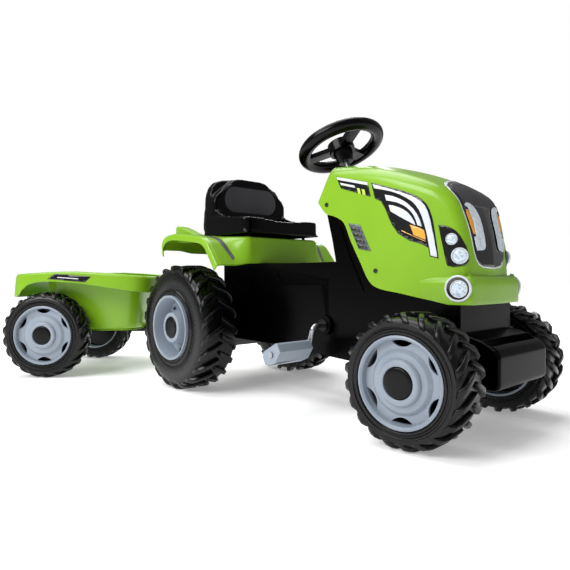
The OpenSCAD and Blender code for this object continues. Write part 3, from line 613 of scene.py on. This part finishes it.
lamp("upper_lamp", (635, -77.5, 317.7), 9.5, 1.4, 3.4, "upper_lamps")
lamp("middle_lamp", (647, -74, 290.7), 13.4, 2.4, 4.2, "middle_lamps")
HEADLIGHT = (652, -88.2, 239.2)
disc_on_hood("headlight_ring", HEADLIGHT,
             [(21, -2), (21, 1.6), (20, 2.6), (18.6, 2.6), (17.8, 1.6), (17.8, -2)],
             SILVER, "lamp_white", "headlights")
disc_on_hood("headlight_well", HEADLIGHT,
             [(0, -2), (17.9, -2), (17.9, 1.5), (14, 0.6), (0, 0.6)],
             GLOSS, "gloss_black", "headlights")
lamp("headlight", (653.5, -88, 238.6), 14, 1.8, 3.4, "headlights")


# ---- Seat ----

def slab(bm, outline, way, low, high):
    """Adds an outline drawn along two of a way's axes, thick along the third."""
    face = bm.faces.new([bm.verts.new(way[0] * a + way[1] * b + way[2] * low) for a, b in outline])
    made = bmesh.ops.extrude_face_region(bm, geom=[face])["geom"]
    bmesh.ops.translate(bm, vec=way[2] * (high - low),
                        verts=[g for g in made if isinstance(g, bmesh.types.BMVert)])
    bmesh.ops.recalc_face_normals(bm, faces=bm.faces)


BLEND = 0.0024
MOULDING = 0.003
eased("axle_carrier", 0, FRAME, melt=(BLEND, 14), sharp=180)
shell = bmesh.new()
shell.from_mesh(frame["nodes"]["seat"].data)
shell.transform(TRACTOR.inverted())
back = both_hands([(112, 374), (112, 440), (109, 462), (102, 480), (90, 493), (72, 500), (46, 503.5),
                   (14, 504.5)])
slab(shell, back, NOSE, 20, -6)
cheek = [(-27, 372), (-24, 420), (-6, 446), (10, 440), (24, 426), (40, 414), (62, 406), (84, 402),
         (84, 380)]
for m in (1, -1):
    slab(shell, cheek, SIDE, m * 99, m * 111)
recess = both_hands([(90, 420), (95, 432), (95, 456), (90, 472), (80, 483), (60, 489), (30, 491.5)])
bring("seat_shell", shell, TRACTOR, "seat", BLACK, "black_plastic", "seat", melt=(BLEND, 18),
      sharp=180)
pad = bmesh.new()
slab(pad, recess, NOSE, -21, -26.6)
bring("seat_pad", pad, TRACTOR, "seat", PANEL, "seat_panel_grey", "seat_panel", edge=0.0012,
      segments=3)


# ---- Saddle and fenders ----

MIDDLE = [(-88, 320), (-90, 345), (-72, 353), (-30, 354), (20, 354), (70, 353), (120, 352), (146, 350),
          (152, 342), (154, 318), (156, 290)]
OUTER = [(-88, 326), (-88, 346), (-72, 359), (-40, 364), (0, 361), (46, 356), (84, 350), (106, 340),
         (122, 322), (136, 304), (149, 286)]


FENDER_OUT = 190
FLAT_SHARE = 0.93


def saddle_at(u, v):
    """A point on the saddle; u runs from left skirt to right, v from back to front."""
    t = abs(2 * u - 1) / FLAT_SHARE
    y = min(t, 1) * FENDER_OUT
    blend = min(1, max(0, (y - 100) / 46))
    blend = blend * blend * (3 - 2 * blend)
    middle, outer = (along([(x, 0, z) for x, z in keys], v) for keys in (MIDDLE, OUTER))
    point = middle.lerp(outer, blend)
    skirt = max(0, t - 1) / (1 / FLAT_SHARE - 1)
    centre = Vector((0, 0, 144))
    point += (centre - point).normalized() * (1.5 * blend * (y > 185) + 15 * skirt)
    point.y = (y + 2 * min(1, skirt * 3)) * (1 if u < 0.5 else -1)
    return point


bring("saddle_shell", surface(150, 60, saddle_at), TRACTOR, "tractor", GREEN, "green_plastic",
      "saddle", wall=MOULDING, sharp=60)
saddle_skin = skin_from(surface(150, 60, saddle_at))
patch("fender_stripe", [(40, -180), (66, -174), (100, -160), (124, -152), (141, -145), (140, -138),
                        (112, -144), (86, -151), (56, -163)], ABOVE, SLATE, "seat_panel_grey",
      skin=saddle_skin)
FIN = [(-90, 345), (-91, 372), (-91, 384), (-86, 388), (-70, 385), (-44, 377), (-16, 367), (6, 360),
       (6, 345)]
for m in (1, -1):
    fin = bmesh.new()
    slab(fin, FIN, SIDE, m * 123, m * 150)
    bring(f"fender_fin_{'left' if m > 0 else 'right'}", fin, TRACTOR, "tractor", GREEN, "green_plastic",
          "saddle", edge=0.004, segments=3)


# ---- The other CAD pieces, edges eased ----

eased("main_frame", 0.0025, FRAME)
for node, edge in (("steering_wheel", 0.002), ("column_collar", 0.001), ("horn_button", 0.0012),
                   ("pedal_left", 0.002), ("pedal_right", 0.002), ("drawbar", 0.002),
                   ("stub_axle_left", 0.0008), ("stub_axle_right", 0.0008), ("tie_rod", 0.0008)):
    eased(node, edge)
for node, cad in frame["nodes"].items():
    if not cad.hide_render:
        cad.data.materials.clear()
        cad.data.materials.append(PAINTS[slot_of[node]])


# ---- Trailer tub ----

SQUARENESS = 5.5


def round_box(t, back, front, half):
    """A point on a rounded rectangle, with t from 0 to 1 once round it."""
    c, d = math.cos(TURN * t), math.sin(TURN * t)
    k = 2 / SQUARENESS
    mx, hx = (back + front) / 2, (front - back) / 2
    return Vector((mx + math.copysign(abs(c) ** k, c) * hx,
                   math.copysign(abs(d) ** k, d) * half, 0))


# Tub wall as (growth of the floor's outline, height, 0)
TUB_WALL = [(0.0, 118.2, 0), (0.9, 118.2, 0), (0.985, 119.5, 0), (1.03, 128, 0), (1.06, 150, 0),
            (1.09, 180, 0), (1.115, 215, 0), (1.13, 257, 0)]


def tub_at(u, v):
    """A point on the tub; u runs round it, v from the floor's middle to the top."""
    grow, z, _ = along(TUB_WALL, v)
    point = round_box(u, -380, -140, 113)
    middle = Vector((-260 + (grow - 1) * 20, 0, 0))
    point = middle + (point - Vector((-260, 0, 0))) * grow
    point.z = z
    return point


LOW_EDGE = [(-470, 208), (-440, 211), (-428, 217), (-417, 230), (-400, 243), (-376, 249),
            (-340, 251), (-290, 249), (-240, 243), (-190, 235), (-140, 227), (-90, 220), (-74, 218)]
HIGH_EDGE = [(-470, 270), (-448, 270), (-412, 272), (-340, 276), (-276, 277), (-200, 273),
             (-74, 262)]
BAND_MIDDLE = -272
ROLL_FROM = 0.86


def level(keys, x):
    """Height of an edge at x, by straight steps between the keys."""
    for (x0, z0), (x1, z1) in zip(keys, keys[1:]):
        if x <= x1:
            return z0 + (z1 - z0) * max(0, (x - x0) / (x1 - x0))
    return keys[-1][1]


def band_at(u, v):
    """A point on the rim band; u runs round it, v up from its arched lower edge."""
    point = round_box(u, -467, -78, 186.5)
    low, high = level(LOW_EDGE, point.x), level(HIGH_EDGE, point.x)
    draft = 1 - 0.03 * v * (point.x < BAND_MIDDLE)
    point.x = BAND_MIDDLE + (point.x - BAND_MIDDLE) * draft
    point.y *= 1 - 0.012 * v
    if v > ROLL_FROM:
        roll = (v - ROLL_FROM) / (1 - ROLL_FROM)
        point.x += (BAND_MIDDLE - point.x) * 0.02 * roll
        point.y *= 1 - 0.02 * roll
        v = ROLL_FROM + (1 - ROLL_FROM) * math.sin(roll * math.pi / 2)
    point.z = low + (high - low) * v
    return point


def deck_at(u, v):
    """A point on the ledge between the rim band and the tub."""
    outer, inner = round_box(u, -452, -82, 182), tub_at(u, 1)
    point = outer.lerp(inner, v)
    point.z = 257 - 2.5 * v
    return point


for name, shape in (("tub_body", surface(160, 60, tub_at)),
                    ("tub_band", surface(200, 24, band_at)),
                    ("tub_deck", surface(160, 8, deck_at))):
    bmesh.ops.remove_doubles(shape, verts=shape.verts, dist=0.05)
    bring(name, shape, TRAILER, "trailer", GREEN, "green_plastic", "trailer_tub", wall=MOULDING,
          sharp=60)
band_skin = skin_from(surface(200, 24, band_at))
PLATE = [(-346, 257), (-326, 271), (-230, 263), (-246, 248)]
PLATE_STRIPE = [(-320, 260.5), (-317, 262.5), (-262, 258), (-265, 256)]
for m, hand in ((-1, "right"), (1, "left")):
    way = (SIDE[0], SIDE[1], SIDE[2] * -m)
    patch("trailer_plate_" + hand, PLATE, way, GLOSS, "gloss_black", twin=False,
          skin=band_skin, place=TRAILER, body="trailer")
    patch("trailer_plate_stripe_" + hand, PLATE_STRIPE, way, SILVER, "lamp_white", twin=False,
          lift=0.8, skin=band_skin, place=TRAILER, body="trailer")


# ---- Studio ----

def studio_light(name, at, aim, size, power):
    """A soft box of the given size and power, turned to its aim."""
    soft_box = bpy.data.lights.new(name, "AREA")
    soft_box.shape, soft_box.size, soft_box.size_y = "RECTANGLE", size[0], size[1]
    soft_box.energy = power
    holder = bpy.data.objects.new(name, soft_box)
    holder.location = at
    holder.rotation_euler = (Vector(aim) - Vector(at)).to_track_quat("-Z", "Y").to_euler()
    bpy.context.scene.collection.objects.link(holder)


floor_mesh = bmesh.new()
bmesh.ops.create_grid(floor_mesh, x_segments=1, y_segments=1, size=14)
mesh = bpy.data.meshes.new("floor")
floor_mesh.to_mesh(mesh)
floor_mesh.free()
floor = bpy.data.objects.new("floor", mesh)
bpy.context.scene.collection.objects.link(floor)
ground = Paint("floor")
# The floor glows more with distance, so that it fades into the white behind it
far = ground.node("ShaderNodeVectorMath", {"operation": "LENGTH"}, {0: ground.place}, "Value")
ground.shade(Base_Color=ground.ramp(ground.noise(3), (0.3, (244, 244, 244)), (0.7, (247, 247, 247))),
             Roughness=0.85,
             Emission_Color=ground.ramp(far * 0.2, (0.1, (140, 140, 140)), (0.7, (235, 235, 235))))
ground.shader.inputs["Emission Strength"].default_value = 1.0
mesh.materials.append(ground.material)

# White behind the object as seen, but dimmer as a light
LIT, SEEN = 0.28, 1.0
world = bpy.data.worlds.new("studio")
bpy.context.scene.world = world
world.use_nodes = True
sky = world.node_tree.nodes["Background"]
sky.inputs["Color"].default_value = (1, 1, 1, 1)
path = world.node_tree.nodes.new("ShaderNodeLightPath")
span = world.node_tree.nodes.new("ShaderNodeMapRange")
span.inputs["To Min"].default_value, span.inputs["To Max"].default_value = LIT, SEEN
world.node_tree.links.new(path.outputs["Is Camera Ray"], span.inputs["Value"])
world.node_tree.links.new(span.outputs["Result"], sky.inputs["Strength"])
bpy.context.scene.view_settings.view_transform = "Standard"
middle = Vector((axle.x + 0.2, axle.y, 0.25))
studio_light("key", middle + Vector((-0.2, -2.2, 1.5)), middle, (1.8, 1.2), 58)
studio_light("overhead", middle + Vector((-0.7, 0.0, 2.5)), middle, (2.8, 2.2), 74)
studio_light("rim", middle + Vector((-1.6, 1.8, 1.6)), middle, (1.0, 0.6), 14)

CAMERA_FROM_AXLE = Vector((1.0822, -0.8392, 0.2580))
SENSOR_MM, LENS_MM = 36, 33.40042
yaw, pitch, roll = math.radians(47.9293), math.radians(0.8134), math.radians(-0.2981)
ahead = Vector((-math.sin(yaw) * math.cos(pitch), math.cos(yaw) * math.cos(pitch),
                -math.sin(pitch)))
right = Vector((math.cos(yaw), math.sin(yaw), 0))
above = right.cross(ahead)
tipped_right = right * math.cos(roll) + above * math.sin(roll)
tipped_up = above * math.cos(roll) - right * math.sin(roll)
camera = bpy.data.objects.new("camera", bpy.data.cameras.new("camera"))
camera.data.sensor_width = SENSOR_MM
camera.data.lens = LENS_MM
camera.data.clip_start = 0.02
turn = Matrix((tipped_right, tipped_up, -ahead)).transposed().to_4x4()
spot = CAMERA_FROM_AXLE + Vector((axle.x, axle.y, 0))
camera.matrix_world = Matrix.Translation(spot) @ turn
bpy.context.scene.collection.objects.link(camera)
bpy.context.scene.camera = camera
